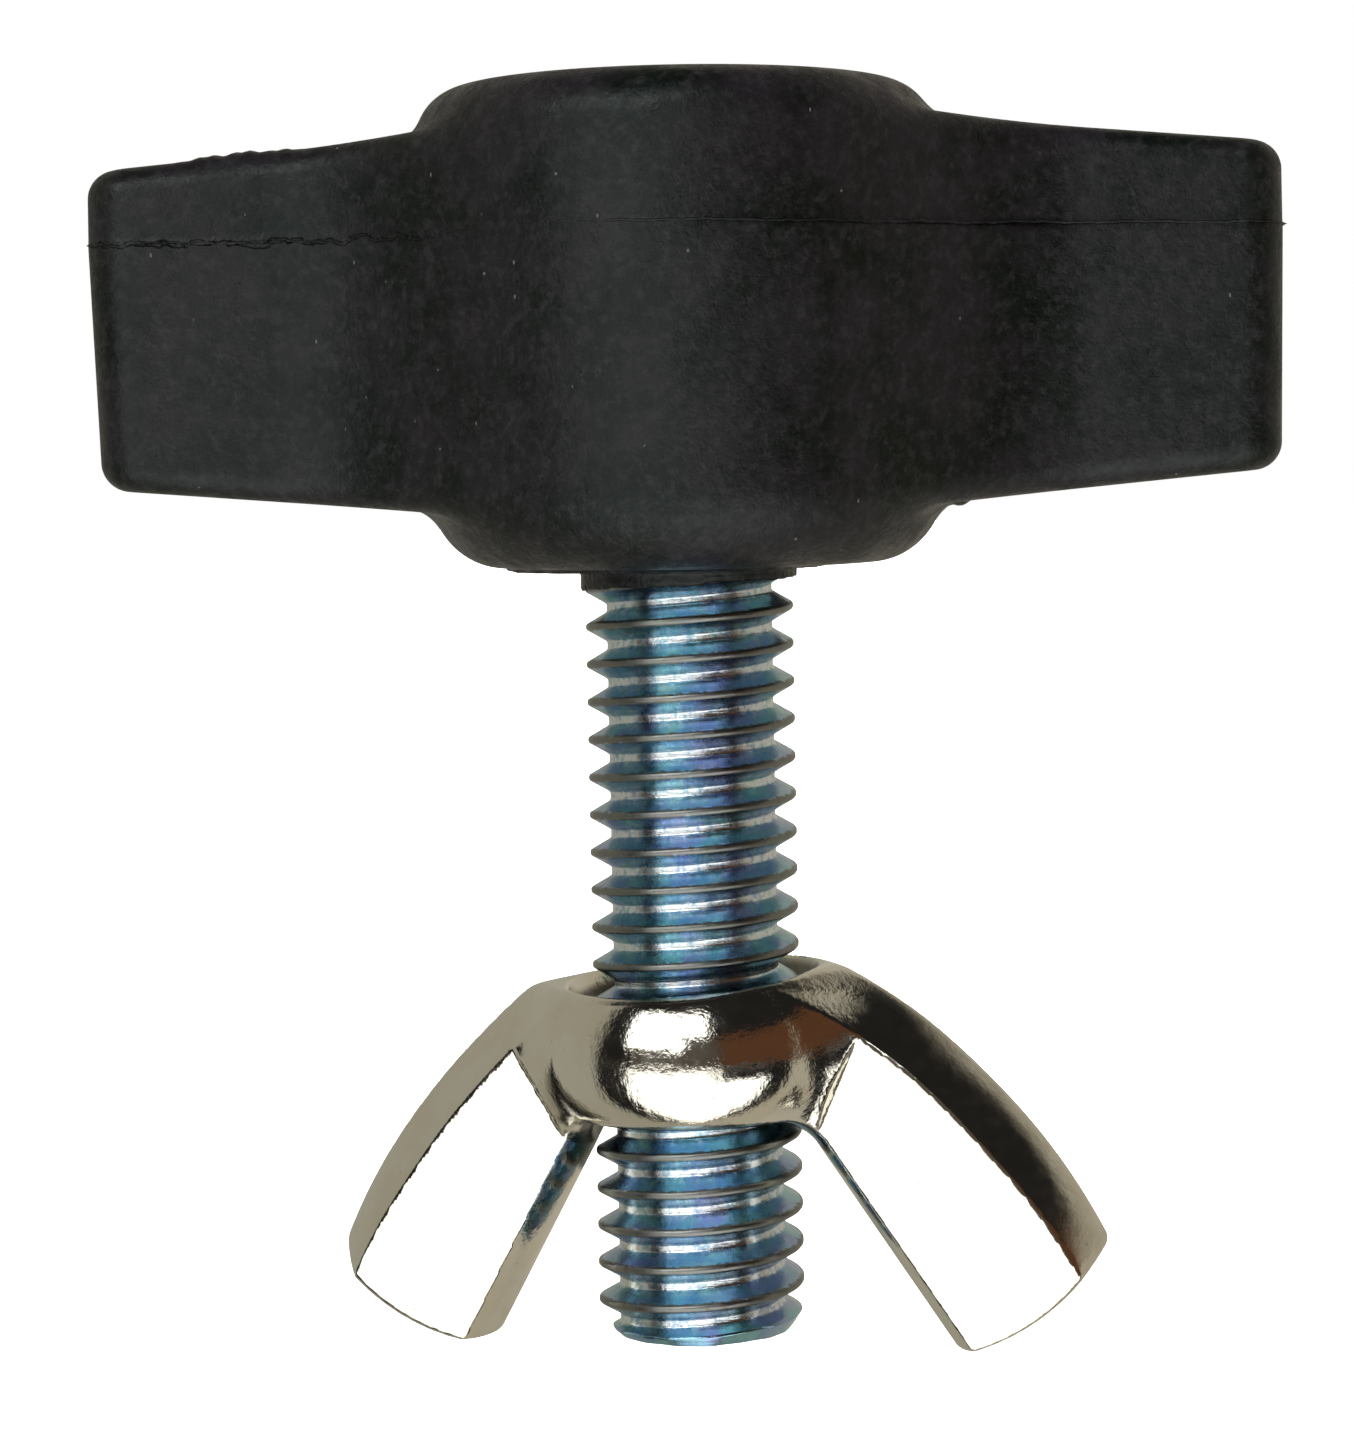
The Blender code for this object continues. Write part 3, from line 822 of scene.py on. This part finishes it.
LEFT_SIDE = (0.42, 0.40, 0.33)
RIGHT_SIDE = (0.52, 0.48, 0.39)
DARK = (0.018, 0.017, 0.016)
BROWN = (0.115, 0.050, 0.024)
HAZE = (0.10, 0.085, 0.07)
SOFTBOX = (4.5, 4.5, 4.45)
GROUND = (2.0, 1.98, 1.92)


# Patches of the surroundings, each laid over the ones before it. In degrees: azimuth from and to, with
# 0 at the front and 90 at the right, elevation from and to, and how soft the ends of the two are.
PATCHES = (
    (DARK, (-80, 89), (0, 200), (7, 3)),
    (DARK, (-300, 300), (50, 200), (8, 8)),
    (BROWN, (14, 84), (-1, 27), (6, 3)),
    (RIGHT_SIDE, (78, 200), (0, 24), (4, 6)),
    (HAZE, (-50, 14), (-1, 30), (4, 3)),
    (SOFTBOX, (-54, -13), (17, 33), (2, 3)),
    (SOFTBOX, (-54, 6), (30, 46), (3, 3)),
    (DARK, (-80, -54), (-200, 1), (4, 2)),
    (GROUND, (-54, 52), (-200, -1), (3, 1.5)),
    (DARK, (52, 70), (-200, 0), (3, 2)),
    (DARK, (14, 60), (-14, 1), (4, 4)),
)

FLOOR_HALF_SIZE = 3.0
FLOOR_GAP = 0.001  # below the nut at its lowest
FLOOR_GLOW = 0.7
SUN_ENERGY = 5.5
SUN_ANGLE = math.radians(60)

CAMERA_AIM = Vector((-0.54, 0, 22.9)) * MM
CAMERA_DISTANCE = 142.6 * MM
CAMERA_PITCH = math.radians(3.7)
CAMERA_ROLL = math.radians(-1.08)
CAMERA_LENS = 95.3


def make_world():
    """The studio's surroundings, which the object reflects; the camera itself sees plain white."""
    world = bpy.data.worlds.new("studio")
    world.use_nodes = True
    bpy.context.scene.world = world
    world.node_tree.nodes.clear()
    sky = Nodes(world.node_tree)
    where = sky.nodes.new("ShaderNodeTexCoord")
    direction = sky.split(where.outputs["Generated"])
    front = sky.times(direction["Y"], -1.0)
    azimuth = sky.math("ARCTAN2", direction["X"], front)
    elevation = sky.math("ARCSINE", direction["Z"])

    def band(value, low, high, soft):
        return sky.band(value, math.radians(low), math.radians(high), math.radians(soft))

    colour = sky.mix(LEFT_SIDE, RIGHT_SIDE, band(azimuth, 0, 200, 8))
    for other, azimuths, elevations, (soft_azimuth, soft_elevation) in PATCHES:
        across = band(azimuth, *azimuths, soft_azimuth)
        share = sky.times(across, band(elevation, *elevations, soft_elevation))
        colour = sky.mix(colour, other, share)

    seen = sky.nodes.new("ShaderNodeLightPath")
    colour = sky.mix(colour, (1, 1, 1), seen.outputs["Is Camera Ray"])
    background = sky.nodes.new("ShaderNodeBackground")
    output = sky.nodes.new("ShaderNodeOutputWorld")
    sky.links.new(colour, background.inputs["Color"])
    sky.links.new(background.outputs[0], output.inputs["Surface"])


def make_stage():
    """A plain white floor below the nut's lowest place, and one soft light from above."""
    mesh = bpy.data.meshes.new("floor")
    z = cad_low[2] + NUT_LOWEST_TRAVEL - FLOOR_GAP
    reach = FLOOR_HALF_SIZE
    corners = [(-reach, -reach, z), (reach, -reach, z), (reach, reach, z), (-reach, reach, z)]
    mesh.from_pydata(corners, [], [(0, 1, 2, 3)])
    floor = bpy.data.objects.new("floor", mesh)
    white = plain("floor_white", (0.8, 0.8, 0.8), 0.9, 0)
    shader = white.node_tree.nodes["Principled BSDF"]
    shader.inputs["Emission Color"].default_value = (1, 1, 1, 1)
    shader.inputs["Emission Strength"].default_value = FLOOR_GLOW
    floor.data.materials.append(white)
    floor.visible_glossy = False
    bpy.context.scene.collection.objects.link(floor)

    light = bpy.data.lights.new("top_softbox", "SUN")
    light.energy = SUN_ENERGY
    light.angle = SUN_ANGLE
    item = bpy.data.objects.new("top_softbox", light)
    item.visible_glossy = False
    bpy.context.scene.collection.objects.link(item)


def make_camera():
    """The photo's view: from the front, a little above, and rolled by about a degree."""
    camera = bpy.data.cameras.new("camera")
    camera.sensor_width = 36
    camera.lens = CAMERA_LENS
    camera.clip_start = 0.005
    item = bpy.data.objects.new("camera", camera)
    back = Vector((0, -math.cos(CAMERA_PITCH), math.sin(CAMERA_PITCH)))
    place = Matrix.Translation(CAMERA_AIM + CAMERA_DISTANCE * back)
    tilt = Matrix.Rotation(math.pi / 2 - CAMERA_PITCH, 4, "X")
    item.matrix_world = place @ tilt @ Matrix.Rotation(CAMERA_ROLL, 4, "Z")
    bpy.context.scene.collection.objects.link(item)
    bpy.context.scene.camera = item


make_camera()
make_world()
make_stage()
plastic = black_plastic()
make_knob(plastic)
make_flash_line(plastic)
make_stud(blue_zinc())
make_wing_nut(nickel_plate())
bpy.context.scene.view_settings.view_transform = "Standard"
